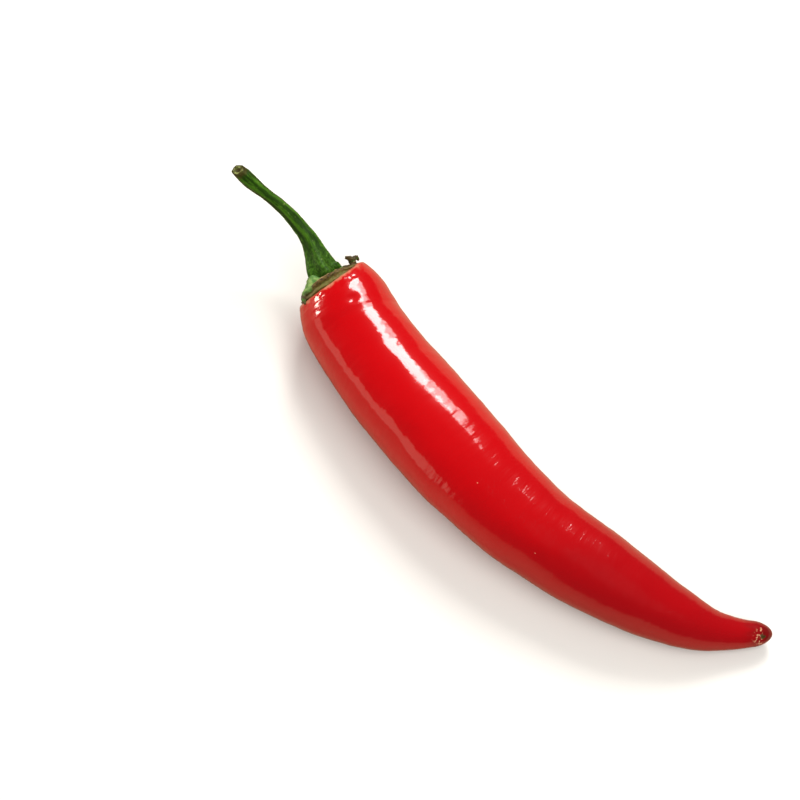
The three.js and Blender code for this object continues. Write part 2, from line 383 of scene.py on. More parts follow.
SKIN_INPUTS = (
    ("Guide", "NodeSocketGeometry", None), ("Sides", "NodeSocketInt", 64),
    *((name, "NodeSocketFloat", value) for name, value in (
        ("Lobes", 3.0), ("Lobe Turn", 0.0), ("Swell Size", 0.02), ("Swell Height", 0.0),
        ("Dimple Size", 0.005), ("Dimple Height", 0.0), ("Wrinkle Spacing", 0.001),
        ("Wrinkle Length", 0.008), ("Wrinkle Height", 0.0), ("Pucker Size", 0.003))),
    ("Dent Place", "NodeSocketVector", None), ("Dent Size", "NodeSocketFloat", 0.002),
    ("Dent Depth", "NodeSocketFloat", 0.0), ("Scar Place", "NodeSocketVector", None),
    ("Scar Size", "NodeSocketFloat", 0.001), ("Scar Depth", "NodeSocketFloat", 0.0),
    ("Seed", "NodeSocketFloat", 1.0), ("Skin", "NodeSocketMaterial", None),
)

# What each point of a guide carries for its ring.
RING_FIELDS = (
    ("side", "FLOAT_VECTOR"), ("top", "FLOAT_VECTOR"), ("radius", "FLOAT"), ("along", "FLOAT"),
    ("lobe", "FLOAT"), ("pucker", "FLOAT"), ("twist", "FLOAT"),
)


def skin_tree():
    """A closed skin round a guide whose points carry a ring's centre, axes, radius and distance.

    It stores "straight", the place that each point would have if the line were straight, so that
    patterns follow the growth without a seam, and "crest", which is 1 on the lobes and -1 between.
    """
    tree = bpy.data.node_groups.new("Grown skin", "GeometryNodeTree")
    for name, kind, default in SKIN_INPUTS:
        socket = tree.interface.new_socket(name=name, in_out="INPUT", socket_type=kind)
        if default is not None:
            socket.default_value = default
    tree.interface.new_socket(name="Grown", in_out="OUTPUT", socket_type="NodeSocketGeometry")
    given = add(tree, "NodeGroupInput").outputs
    guide = given["Guide"]

    # A grid with a row for each ring; its first and last columns meet.
    rings = add(tree, "GeometryNodeAttributeDomainSize", {"Geometry": guide}).outputs[0]
    columns = add(tree, "FunctionNodeIntegerMath", {0: given["Sides"], 1: 1}).outputs[0]
    grid = add(tree, "GeometryNodeMeshGrid", {"Vertices X": rings, "Vertices Y": columns})
    index = add(tree, "GeometryNodeInputIndex").outputs[0]
    ring = add(tree, "FunctionNodeIntegerMath", {0: index, 1: columns},
               operation="DIVIDE_FLOOR").outputs[0]
    column = add(tree, "FunctionNodeIntegerMath", {0: index, 1: columns},
                 operation="MODULO").outputs[0]
    angle = times(tree, maths(tree, "DIVIDE", column, given["Sides"]), 2 * math.pi)
    sine, cosine = maths(tree, "SINE", angle), maths(tree, "COSINE", angle)

    # What the guide carries for this ring.
    position = add(tree, "GeometryNodeInputPosition").outputs[0]
    carried = {}
    for name, kind in (("centre", "FLOAT_VECTOR"), *RING_FIELDS):
        field = position
        if name != "centre":
            field = add(tree, "GeometryNodeInputNamedAttribute", {"Name": name},
                        data_type=kind).outputs[0]
        carried[name] = add(tree, "GeometryNodeSampleIndex",
                            {"Geometry": guide, "Value": field, "Index": ring},
                            data_type=kind).outputs[0]

    # The same place in the straightened piece.
    straight = add(tree, "ShaderNodeCombineXYZ", {
        0: carried["along"], 1: times(tree, cosine, carried["radius"]),
        2: times(tree, sine, carried["radius"])}).outputs[0]

    # Lobes or ribs round each ring, as deep as the guide says.
    turned = maths(tree, "ADD", maths(tree, "SUBTRACT", angle, given["Lobe Turn"]),
                   carried["twist"])
    crest = maths(tree, "COSINE", times(tree, turned, given["Lobes"]))
    reach = times(tree, carried["radius"],
                  maths(tree, "MULTIPLY_ADD", crest, carried["lobe"], 1.0))

    def lumps(place, shift, detail):
        """Noise about zero, different for each seed and shift."""
        wave = add(tree, "ShaderNodeTexNoise", {
            "Vector": place, "W": maths(tree, "ADD", given["Seed"], shift), "Scale": 1.0,
            "Detail": detail}, noise_dimensions="4D").outputs[0]
        return maths(tree, "SUBTRACT", wave, 0.5)

    # Swells, dimples and crosswise wrinkles stand out from the skin and die away at its poles.
    heights = []
    for word, shift in (("Swell", 0.0), ("Dimple", 10.0), ("Wrinkle", 20.0)):
        if word == "Wrinkle":
            cell = add(tree, "ShaderNodeCombineXYZ", {
                0: given["Wrinkle Spacing"], 1: given["Wrinkle Length"],
                2: given["Wrinkle Length"]}).outputs[0]
        else:
            cell = given[word + " Size"]
        place = vectors(tree, "DIVIDE", straight, cell)
        heights.append(times(tree, lumps(place, shift, 1.0), given[word + " Height"]))
    relief = maths(tree, "ADD", maths(tree, "ADD", heights[0], heights[1]), heights[2])
    for word in ("Dent", "Scar"):
        apart = vectors(tree, "DISTANCE", straight, given[word + " Place"], give="Value")
        apart = maths(tree, "POWER", maths(tree, "DIVIDE", apart, given[word + " Size"]), 2.0)
        hollow = maths(tree, "EXPONENT", times(tree, apart, -1.0))
        relief = maths(tree, "SUBTRACT", relief,
                       times(tree, hollow, given[word + " Depth"]))
    open_skin = between(tree, carried["radius"], 0.0, 2 * MM, 0.0, 2.0)
    reach = maths(tree, "MULTIPLY_ADD", relief, open_skin, reach)

    # Folds where the guide asks for them, running outward from the growing point.
    round_place = vectors(tree, "DIVIDE", straight, given["Pucker Size"])
    folds = times(tree, lumps(round_place, 30.0, 1.5), carried["pucker"])

    # Out from the ring's centre along its own axes, and never below the surface it lies on.
    place = carried["centre"]
    onward = vectors(tree, "CROSS_PRODUCT", carried["side"], carried["top"])
    steps = ((carried["side"], times(tree, reach, cosine)),
             (carried["top"], times(tree, reach, sine)), (onward, folds))
    for axis, amount in steps:
        step = add(tree, "ShaderNodeVectorMath", {0: axis, "Scale": amount},
                   operation="SCALE").outputs[0]
        place = vectors(tree, "ADD", place, step)
    x, y, z = add(tree, "ShaderNodeSeparateXYZ", {0: place}).outputs
    place = add(tree, "ShaderNodeCombineXYZ",
                {0: x, 1: y, 2: maths(tree, "MAXIMUM", z, 0.0)}).outputs[0]

    shape = grid.outputs["Mesh"]
    for name, value, kind in (("straight", straight, "FLOAT_VECTOR"), ("crest", crest, "FLOAT")):
        shape = add(tree, "GeometryNodeStoreNamedAttribute",
                    {"Geometry": shape, "Name": name, "Value": value}, data_type=kind).outputs[0]
    shape = add(tree, "GeometryNodeSetPosition", {"Geometry": shape, "Position": place}).outputs[0]
    shape = add(tree, "GeometryNodeMergeByDistance",
                {"Geometry": shape, "Distance": 0.0005 * MM}).outputs[0]
    shape = add(tree, "GeometryNodeFlipFaces", {"Mesh": shape}).outputs[0]
    shape = add(tree, "GeometryNodeSetShadeSmooth", {"Geometry": shape}).outputs[0]
    shape = add(tree, "GeometryNodeRealizeInstances", {"Geometry": shape}).outputs[0]
    shape = add(tree, "GeometryNodeSetMaterial",
                {"Geometry": shape, "Material": given["Skin"]}).outputs[0]
    add(tree, "NodeGroupOutput", {"Grown": shape})
    return tree


def plain_object(name, source):
    """A plain mesh object from what the source's modifiers make; the source is removed."""
    depsgraph = bpy.context.evaluated_depsgraph_get()
    mesh = bpy.data.meshes.new_from_object(source.evaluated_get(depsgraph), depsgraph=depsgraph)
    mesh.name = name
    piece = bpy.data.objects.new(name, mesh)
    bpy.context.scene.collection.objects.link(piece)
    source.modifiers.clear()
    bpy.data.objects.remove(source)
    return piece


def grow(name, centre, fields, **inputs):
    """A plain mesh object grown round its rings, with what each ring carries."""
    guide = bpy.data.meshes.new(name + "_guide")
    guide.from_pydata(centre.tolist(), [], [])
    for title, kind in RING_FIELDS:
        layer = guide.attributes.new(title, kind, "POINT")
        values = fields.get(title, np.zeros(len(centre)))
        layer.data.foreach_set("vector" if kind == "FLOAT_VECTOR" else "value",
                               np.ascontiguousarray(values, dtype=np.float32).ravel())
    source = bpy.data.objects.new(name + "_source", guide)
    bpy.context.scene.collection.objects.link(source)
    modifier = source.modifiers.new("Grown skin", "NODES")
    modifier.node_group = bpy.data.node_groups.get("Grown skin") or skin_tree()
    identifiers = {
        item.name: item.identifier for item in modifier.node_group.interface.items_tree
        if item.item_type == "SOCKET" and item.in_out == "INPUT"}
    for title, value in inputs.items():
        modifier[identifiers[title.replace("_", " ").title()]] = value
    return plain_object(name, source)


# ---- materials ----


def new_material(name):
    material = bpy.data.materials.new(name)
    material.use_nodes = True
    tree = material.node_tree
    tree.nodes.clear()
    shader = add(tree, "ShaderNodeBsdfPrincipled")
    add(tree, "ShaderNodeOutputMaterial", {"Surface": shader.outputs[0]})
    return material, tree, shader


def stored(tree, name):
    """A vector that the mesh stores, and its three parts."""
    vector = add(tree, "ShaderNodeAttribute", attribute_name=name).outputs["Vector"]
    return vector, add(tree, "ShaderNodeSeparateXYZ", {0: vector}).outputs


def off_axis(tree, side, top):
    """How far a place lies from the straightened piece's middle line."""
    flat = add(tree, "ShaderNodeCombineXYZ", {0: 0.0, 1: side, 2: top}).outputs[0]
    return vectors(tree, "LENGTH", flat, give="Value")


def set_levels(shader, levels):
    """Levels that are even over the whole surface, on the shader's own sockets."""
    for name, value in levels.items():
        shader.inputs[name].default_value = value


def noise(tree, vector, sizes, detail=2.0, roughness=0.5):
    """Noise from 0 to 1 whose cells have this size, or these along the three directions."""
    if np.isscalar(sizes):
        sizes = (sizes,) * 3
    place = vectors(tree, "DIVIDE", vector, sizes)
    return add(tree, "ShaderNodeTexNoise", {
        "Vector": place, "Scale": 1.0, "Detail": detail, "Roughness": roughness}).outputs[0]


def between(tree, value, low, high, start=0.0, end=1.0):
    """The value's share of the way from low to high, eased, from start to end."""
    return add(tree, "ShaderNodeMapRange", {0: value, 1: low, 2: high, 3: start, 4: end},
               interpolation_type="SMOOTHSTEP").outputs[0]


def mixed(tree, factor, first, second):
    return add(tree, "ShaderNodeMix", {0: factor, 6: first, 7: second},
               data_type="RGBA").outputs[2]


def pod_material(colours, whole, scar):
    """Waxed pepper skin: a saturated red under a hard clear cuticle, with fine crosswise creases
    that break the gloss into streaks, deeper red towards the tip, a dried scar and pale pores."""
    material, tree, shader = new_material("waxed_pepper_skin")
    straight, (along, flat_side, flat_top) = stored(tree, "straight")
    patches = noise(tree, straight, (26 * MM, 14 * MM, 14 * MM), 3.0)
    ripe = between(tree, along, 0.2 * whole, 0.95 * whole, -0.25, 0.75)
    ripe = maths(tree, "ADD", ripe, times(tree, patches, 0.6))
    skin = mixed(tree, between(tree, ripe, 0.1, 1.1), colours.skin, colours.skin_deep)
    near_tip = maths(tree, "ADD", along, times(tree, noise(
        tree, straight, (3 * MM, 1.2 * MM, 1.2 * MM)), 5 * MM))
    skin = mixed(tree, between(tree, near_tip, whole - 5 * MM, whole + 3.5 * MM), skin,
                 colours.skin_tip)
    apart = vectors(tree, "DISTANCE", straight, scar, give="Value")
    apart = maths(tree, "MULTIPLY_ADD", maths(tree, "SUBTRACT", noise(
        tree, straight, 0.5 * MM), 0.5), 1.4 * MM, apart)
    behind = maths(tree, "SUBTRACT", scar[0] + 0.1 * MM, along)
    # Partly corky crumbs and partly painted glints: pale spots behind the tip's scar, in the cork
    # colour.
    crumbs_and_glints = between(tree, noise(tree, straight, 0.55 * MM, 1.0), 0.51, 0.62)
    crumbs_and_glints = times(tree, crumbs_and_glints, between(tree, behind, 0.0, 0.4 * MM))
    crumbs_and_glints = times(tree, crumbs_and_glints, between(tree, apart, 1.4 * MM, 2.4 * MM, 0.85, 0.0))
    skin = mixed(tree, crumbs_and_glints, skin, colours.cork_and_highlight)
    skin = mixed(tree, between(tree, apart, 0.35 * MM, 0.65 * MM, 0.95, 0.0), skin, colours.scar)
    # Partly dry cork and partly a painted highlight: a pale scalloped line on the lip round the
    # calyx, in the cork colour.
    reach = off_axis(tree, flat_side, flat_top)
    uneven = maths(tree, "MULTIPLY_ADD", noise(tree, straight, 1.3 * MM), 1.3 * MM, reach)
    cork_and_highlight = times(tree, between(tree, uneven, 7.7 * MM, 8.0 * MM),
                 between(tree, uneven, 8.5 * MM, 8.9 * MM, 1.0, 0.0))
    cork_and_highlight = times(tree, cork_and_highlight, between(tree, along, 1.4 * MM, 2.0 * MM, 0.6, 0.0))
    cork_and_highlight = times(tree, cork_and_highlight, between(
        tree, noise(tree, straight, 2.2 * MM, 2.0), 0.38, 0.6, 0.25, 0.95))
    skin = mixed(tree, cork_and_highlight, skin, colours.cork_and_highlight)
    pores = add(tree, "ShaderNodeTexVoronoi", {
        "Vector": vectors(tree, "DIVIDE", straight, (5 * MM, 4 * MM, 4 * MM)), "Scale": 1.0})
    dot = between(tree, pores.outputs["Distance"], 0.02, 0.045, 1.0, 0.0)
    chosen = maths(tree, "GREATER_THAN", noise(tree, straight, (9 * MM, 9 * MM, 9 * MM)), 0.6)
    dot = times(tree, dot, times(tree, chosen, 0.55))
    skin = mixed(tree, dot, skin, colours.pore)
    tree.links.new(skin, shader.inputs["Base Color"])

    creases = noise(tree, straight, (0.6 * MM, 3.2 * MM, 3.2 * MM), 2.0, 0.55)
    fine = noise(tree, straight, (0.25 * MM, 1.3 * MM, 1.3 * MM), 1.0)
    creases = maths(tree, "ADD", creases, times(tree, fine, 0.35))
    creased = between(tree, noise(tree, straight, (18 * MM, 9 * MM, 9 * MM), 1.0), 0.35, 0.7,
                      0.15, 0.7)
    creased = maths(tree, "ADD", creased, between(tree, along, 26 * MM, 46 * MM, 0.0, 0.6))
    creases = times(tree, creases, creased)
    bump = add(tree, "ShaderNodeBump",
               {"Height": creases, "Distance": 0.05 * MM, "Strength": 0.7}).outputs[0]
    tree.links.new(bump, shader.inputs["Normal"])
    tree.links.new(bump, shader.inputs["Coat Normal"])
    set_levels(shader, {
        "Roughness": 0.33, "Specular IOR Level": 0.06, "Coat Weight": 1.0,
        "Coat Roughness": 0.08, "Coat IOR": 1.45})
    return material


def calyx_material(colours):
    """Drying sepals: leathery and matte, green where the stem feeds them, browned and frayed
    at the edge, with a painted highlight as a tan band along the top of the rim, and a fine grain."""
    material, tree, shader = new_material("drying_sepals")
    crown, (_, _, outward) = stored(tree, "crown")
    leaf = mixed(tree, between(tree, noise(tree, crown, 1.2 * MM, 3.0), 0.35, 0.65),
                 colours.leaf, colours.leaf_pale)
    band = mixed(tree, between(tree, noise(tree, crown, (0.8 * MM, 0.8 * MM, 0.35 * MM), 3.0),
                               0.38, 0.62), colours.leaf_dry, colours.leaf_dark)
    skirt = mixed(tree, between(tree, noise(tree, crown, 0.7 * MM, 3.0), 0.35, 0.7),
                  colours.skirt, colours.leaf_dry)
    edge = mixed(tree, between(tree, outward, 0.55 * MM, 0.85 * MM), skirt, band)
    # Painted highlight: a tan band along the top of the rim, broken up by noise.
    pale = between(tree, outward, 1.45 * MM, 1.7 * MM)
    pale = times(tree, pale, between(
        tree, noise(tree, crown, 1.0 * MM, 2.0), 0.3, 0.55))
    pale = times(tree, pale, between(tree, outward, 2.2 * MM, 2.6 * MM, 1.0, 0.0))
    edge = mixed(tree, times(tree, pale, 0.85), edge, colours.rim_highlight)
    fed = add(tree, "ShaderNodeAttribute", attribute_name="fed").outputs["Fac"]
    fed = maths(tree, "ADD", fed, times(tree, maths(
        tree, "SUBTRACT", noise(tree, crown, 0.9 * MM, 2.0), 0.5), 0.5))
    colour = mixed(tree, between(tree, fed, 0.3, 0.6), edge, leaf)
    burnt = add(tree, "ShaderNodeAttribute", attribute_name="burnt").outputs["Fac"]
    dark = mixed(tree, between(tree, noise(tree, crown, 0.9 * MM, 2.0), 0.52, 0.68),
                 colours.leaf_burnt, colours.leaf)
    colour = mixed(tree, burnt, colour, dark)
    tree.links.new(colour, shader.inputs["Base Color"])
    grain = noise(tree, crown, 0.3 * MM, 3.0, 0.6)
    bump = add(tree, "ShaderNodeBump",
               {"Height": grain, "Distance": 0.08 * MM, "Strength": 0.7}).outputs[0]
    tree.links.new(bump, shader.inputs["Normal"])
    set_levels(shader, {"Roughness": 0.58, "Specular IOR Level": 0.4})
    return material


def stem_material(colours, whole):
    """Fresh pepper stalk: waxy green with long pale streaks, a painted highlight on the ribs'
    crests and painted shade in the furrows, pebbled at the foot and browned behind a pale cut end."""
    material, tree, shader = new_material("fresh_stalk")
    straight, (along, flat_side, flat_top) = stored(tree, "straight")
    crest = add(tree, "ShaderNodeAttribute", attribute_name="crest").outputs["Fac"]
    fibres = noise(tree, straight, (7 * MM, 0.35 * MM, 0.35 * MM), 3.0, 0.6)
    blotches = noise(tree, straight, (5 * MM, 1.6 * MM, 1.6 * MM), 2.0)
    # Painted shade and highlight: the ribs' crests are coloured lighter and the furrows between
    # them darker, on top of the stalk's own long streaks, blotches and grain.
    streaks_and_rib_shade = maths(tree, "MULTIPLY_ADD", crest, 0.16, times(tree, fibres, 1.1))
    streaks_and_rib_shade = maths(tree, "ADD", streaks_and_rib_shade, times(tree, blotches, 0.35))
    grain = noise(tree, straight, (0.9 * MM, 0.3 * MM, 0.3 * MM), 2.0, 0.6)
    streaks_and_rib_shade = maths(tree, "MULTIPLY_ADD", grain, 0.5, maths(tree, "SUBTRACT", streaks_and_rib_shade, 0.17))
    colour = mixed(tree, between(tree, streaks_and_rib_shade, 0.35, 0.75), colours.stalk_streak_and_furrow_shade, colours.stalk)
    colour = mixed(tree, between(tree, streaks_and_rib_shade, 0.72, 1.05), colour, colours.stalk_streak_and_crest_highlight)
    low = between(tree, along, 1.0 * MM, 7.0 * MM, 1.0, 0.0)
    pebbles = noise(tree, straight, (0.5 * MM, 0.35 * MM, 0.35 * MM), 2.0)
    foot = mixed(tree, between(tree, pebbles, 0.35, 0.65), colours.stalk, colours.stalk_foot)
    colour = mixed(tree, times(tree, low, 0.75), colour, foot)
    specks = between(tree, noise(tree, straight, 0.5 * MM, 1.0), 0.7, 0.76)
    colour = mixed(tree, times(tree, specks, 0.3), colour, colours.cut)
    ragged = maths(tree, "ADD", along, times(tree, maths(
        tree, "SUBTRACT", noise(tree, straight, (1 * MM, 0.5 * MM, 0.5 * MM)), 0.5), 2.4 * MM))
    colour = mixed(tree, between(tree, ragged, whole - 1.6 * MM, whole - 0.4 * MM, 0.0, 0.85),
                   colour, colours.scar)
    reach = off_axis(tree, flat_side, flat_top)
    face = between(tree, along, whole - 0.25 * MM, whole - 0.1 * MM)
    torn = maths(tree, "MULTIPLY_ADD", noise(tree, straight, 0.6 * MM), 0.7 * MM, reach)
    face = times(tree, face, between(tree, torn, 1.3 * MM, 1.5 * MM, 0.9, 0.0))
    face = times(tree, face, between(
        tree, noise(tree, straight, 1.1 * MM, 2.0), 0.42, 0.56, 0.12, 1.0))
    colour = mixed(tree, face, colour, colours.cut)
    pith = times(tree, between(tree, reach, 0.35 * MM, 0.62 * MM, 1.0, 0.0),
                 between(tree, along, whole - 0.9 * MM, whole - 0.6 * MM))
    colour = mixed(tree, pith, colour, colours.scar)
    tree.links.new(colour, shader.inputs["Base Color"])
    height = maths(tree, "ADD", fibres, times(tree, times(tree, pebbles, low), 1.5))
    bump = add(tree, "ShaderNodeBump",
               {"Height": height, "Distance": 0.09 * MM, "Strength": 0.6}).outputs[0]
    tree.links.new(bump, shader.inputs["Normal"])
    set_levels(shader, {"Roughness": 0.5, "Specular IOR Level": 0.1})
    return material


def floor_material(colours):
    """Matte white paper sweep: even and without gloss. The skin's gloss sees it dimmer and
    warmer, as if other peppers lay around."""
    material, tree, shader = new_material("white_paper")
    rays = add(tree, "ShaderNodeLightPath").outputs
    colour = mixed(tree, rays["Is Glossy Ray"], colours.floor, colours.around)
    tree.links.new(colour, shader.inputs["Base Color"])
    set_levels(shader, {"Roughness": 0.85, "Specular IOR Level": 0.2})
    return material


# ---- the calyx's shape ----


def ripple(angle, seed, counts=(2, 3, 5, 8, 13)):
    """A closed wave round a ring, about -1 to 1, the same every time for a seed."""
    random = np.random.default_rng(seed)
    wave = sum(np.cos(n * angle + random.uniform(0, 2 * math.pi)) / n ** 0.5 for n in counts)
    return wave / sum(1 / n ** 0.5 for n in counts)


def away(angle, other):
    """The smallest turn between two angles."""
    return np.abs((angle - other + math.pi) % (2 * math.pi) - math.pi)


def closed_loft(rows):
    """Vertices and faces of a closed skin from rings of the same length and two poles."""
    rows = np.asarray(rows)
    count, sides = rows.shape[:2]
    poles = [rows[0].mean(axis=0), rows[-1].mean(axis=0)]
    vertices = np.concatenate([rows.reshape(-1, 3), poles])
    faces = []
    for i in range(sides):
        j = (i + 1) % sides
        faces.append((count * sides, j, i))
        for k in range(count - 1):
            a = k * sides
            faces.append((a + i, a + j, a + sides + j, a + sides + i))
        a = (count - 1) * sides
        faces.append((a + i, a + j, count * sides + 1))
    return vertices, faces


# The front lobe's broadest place lies this far to one side of its turn.
LOBE_ASIDE = 0.14


def calyx_disc(sizes):
    """The frilled disc in the crown's frame, with its front lobe running down from the stem."""
    angle = np.linspace(0, 2 * math.pi, 300, endpoint=False)
    teeth = 5 * (angle - sizes.lobe_turn)
    rim = sizes.diameter / 2 * (1 + 0.02 * np.cos(teeth)) + 0.2 * MM * ripple(angle, 3)
    near = np.exp(-(away(angle, 1.25) / 0.85) ** 2)
    rim_top = sizes.gap + sizes.rim * (0.18 + 0.72 * near) + 0.14 * MM * ripple(angle, 5)
    skirt = -0.6 * MM + 0.26 * MM * ripple(angle, 8, (3, 7, 11, 17))
    lobe = np.exp(-(away(angle, sizes.lobe_turn - LOBE_ASIDE) / 0.62) ** 4)
    small = 0.06 * np.clip(np.cos(teeth), 0, 1) ** 2
    streaks = 0.15 * MM * ripple(angle, 12, (9, 13, 19))

    shelf = sizes.gap + sizes.seat - 0.5 * MM
    rows = []
    for share, lift in ((0.3, 0.1), (0.6, 0.0), (0.85, -0.05)):
        rows.append((rim * share, np.full_like(angle, lift * MM)))
    edge = ((1.0, 0.0), (1.055, 0.05), (1.075, 0.18), (1.05, 0.32), (0.99, 0.44), (0.965, 0.5),
            (0.985, 0.58), (1.01, 0.72), (1.0, 0.9), (0.965, 1.0))
    for out, rise in edge:
        rows.append((rim * out, skirt + (rim_top - skirt) * rise))
    for share in np.linspace(0.93, 0.12, 24):
        reach = rim * share
        inner = np.clip((rim - reach) / (rim - 2.6 * MM), 0, 1)
        high = rim_top + (shelf - rim_top) * ease(0, 0.75, inner)
        high = high + (lobe + small * (1 - lobe)) * sizes.lobe * inner ** 1.6
        high = high + streaks * hump(inner, 0.5, 0.4)
        rows.append((reach, high))
    return np.array([
        np.stack([reach * np.cos(angle), reach * np.sin(angle), high], axis=1)
        for reach, high in rows])


def tube(points, widths, sides=20, flat=1.0):
    """A closed round tube through points, as wide as given at each of them."""
    path = Path(points)
    share = np.linspace(0, 1, 40)
    centre, side, top = frames_along(path, share * path.length, UP + 0.01)
    given = np.linspace(0, 1, len(widths))
    radius = smooth_through(list(zip(given, widths)), share) / 2
    turns = np.linspace(0, 2 * math.pi, sides, endpoint=False)
    return [c + r * (np.outer(np.cos(turns), a) + flat * np.outer(np.sin(turns), b))
            for c, a, b, r in zip(centre, side, top, radius)]


def calyx_teeth(sizes):
    """The drooping front tooth and the curled remnants that stand at the edge."""
    rim = sizes.diameter / 2

    def spot(degrees, out, outward):
        angle = math.radians(degrees)
        return (out * math.cos(angle) * MM, out * math.sin(angle) * MM, outward * MM)

    turned = math.degrees(sizes.lobe_turn)
    out = rim / MM
    front = tube([spot(turned, out - 1.6, 1.2), spot(turned, out - 0.3, 0.7),
                  spot(turned + 1, out + 0.7, 0.0), spot(turned + 3, out + 1.3, -1.3)],
                 (2.6 * MM, 2.1 * MM, 1.3 * MM, 0.3 * MM), flat=0.6)
    hook = tube([spot(154, out - 0.9, 0.0), spot(154, out - 0.5, 1.1),
                 spot(151, out - 0.6, 2.2), spot(146, out - 1.1, 2.8)],
                (2.1 * MM, 1.6 * MM, 1.5 * MM, 0.8 * MM), flat=0.7)
    curl = tube([spot(154, out - 0.4, 0.9), spot(157, out + 0.1, 1.8), spot(161, out + 0.6, 1.6),
                 spot(162, out + 0.7, 0.9)],
                (1.4 * MM, 1.3 * MM, 1.1 * MM, 0.5 * MM), flat=0.7)
    return front, hook, curl


# ---- operators ----


class CHILLI_OT_pod(bpy.types.Operator):
    """Grow the pod round its bowed middle line"""

    bl_idname = "chilli.pod"
    bl_label = "Pod"

    def execute(self, context):
        sizes = context.scene.chilli_pod
        growth = Growth(sizes)
        whole = growth.path.length
        along, radius = pod_outline(sizes, whole).T
        centre, side, top = frames_along(growth.path, along, UP)
        collar = sizes.collar / 2

        # The lip leans: lower under the calyx's front lobe, higher opposite it.
        turned = context.scene.chilli_calyx.lobe_turn
        low_way = math.cos(turned) * growth.axes[0] + math.sin(turned) * growth.axes[1]
        lean = sizes.lip_lean / (collar + 1 * MM) * fade(np.maximum(along, 0), 10 * MM)
        onward = np.cross(side, top)
        side, top = (axis + onward * (lean * (axis @ low_way))[:, None] for axis in (side, top))
        folds = hump(radius, collar + 1.0 * MM, 1.1 * MM) * (along < sizes.shoulder_round)
        fields = {
            "side": side, "top": top, "radius": radius, "along": along,
            "lobe": 0.012 * (1 - ease(0, 0.6 * whole, along)) * ease(0, collar, radius),
            "pucker": 1.6 * sizes.pucker * folds}
        dent_reach = 10.2 * MM
        dent = (8.0 * MM, dent_reach * math.cos(sizes.dent_turn),
                dent_reach * math.sin(sizes.dent_turn))
        scar = scar_place(sizes, whole)
        pod = grow(
            "pod_skin", centre + growth.step, fields, sides=200, lobes=3.0,
            lobe_turn=math.radians(60), swell_size=15 * MM, swell_height=0.5 * MM,
            dimple_size=4.5 * MM, dimple_height=0.1 * MM, wrinkle_spacing=1.3 * MM,
            wrinkle_length=5 * MM, wrinkle_height=0.055 * MM, pucker_size=2.0 * MM,
            dent_place=dent, dent_size=1.3 * MM, dent_depth=0.14 * MM,
            scar_place=scar, scar_size=0.7 * MM, scar_depth=sizes.scar_depth, seed=4.0,
            skin=pod_material(context.scene.chilli_colours, whole, scar))
        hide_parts("pod")
        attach(pod, "root")
        return {"FINISHED"}


class CHILLI_OT_calyx(bpy.types.Operator):
    """Make the frilled calyx on the pod's crown"""

    bl_idname = "chilli.calyx"
    bl_label = "Calyx"

    def execute(self, context):
        sizes = context.scene.chilli_calyx
        growth = Growth(context.scene.chilli_pod)
        vertices, faces = [], []
        for rows in (calyx_disc(sizes), *calyx_teeth(sizes)):
            more, skin = closed_loft(rows)
            start = sum(len(v) for v in vertices)
            vertices.append(more)
            faces += [tuple(start + i for i in face) for face in skin]
        rough = bpy.data.meshes.new("calyx_rough")
        rough.from_pydata(np.concatenate(vertices).tolist(), [], faces)
        source = bpy.data.objects.new("calyx_source", rough)
        context.scene.collection.objects.link(source)
        fuse = source.modifiers.new("Fuse", "REMESH")
        fuse.mode = "VOXEL"
        fuse.voxel_size = VOXEL
        calyx = plain_object("calyx_sepals", source)
        mesh = calyx.data

        # A leathery grain on the fused shape, and what its material reads.
        place = np.empty(len(mesh.vertices) * 3, dtype=np.float32)
        mesh.vertices.foreach_get("co", place)
        place = place.reshape(-1, 3).astype(float)
        facing = np.array([v.normal[:] for v in mesh.vertices])
        grain = np.array([
            mathutils.noise.noise(p) + 0.5 * mathutils.noise.noise(p * 2.3)
            for p in (Vector(v) for v in place / (0.45 * MM))])
        place += facing * (grain * sizes.grain)[:, None]
        reach = np.hypot(place[:, 0], place[:, 1])
        angle = np.arctan2(place[:, 1], place[:, 0])
        lobe = np.exp(-(away(angle, sizes.lobe_turn - LOBE_ASIDE) / 0.6) ** 4)
        inner = 1 - ease(3.6 * MM, 5.2 * MM, reach)
        tooth = hump(away(angle, sizes.lobe_turn), 0, 0.24) * ease(6.2 * MM, 6.9 * MM, reach) * (
            1 - ease(0.6 * MM, 1.3 * MM, place[:, 2]))
        hook = hump(away(angle, math.radians(153)), 0, 0.35) * ease(4.2 * MM, 4.8 * MM, reach) * (
            ease(0.9 * MM, 1.4 * MM, place[:, 2]))
        stored_values = {
            "fed": np.clip(lobe * ease(0.1 * MM, 0.8 * MM, place[:, 2]) + inner, 0, 1),
            "burnt": np.clip(tooth + hook, 0, 1)}
        mesh.attributes.new("crown", "FLOAT_VECTOR", "POINT").data.foreach_set(
            "vector", place.astype(np.float32).ravel())
        for name, values in stored_values.items():
            mesh.attributes.new(name, "FLOAT", "POINT").data.foreach_set(
                "value", values.astype(np.float32))
        mesh.vertices.foreach_set("co", growth.from_crown(place).astype(np.float32).ravel())
        mesh.shade_smooth()
        mesh.materials.clear()
        mesh.materials.append(calyx_material(context.scene.chilli_colours))
        mesh.update()
        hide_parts("calyx")
        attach(calyx, "root")
        return {"FINISHED"}


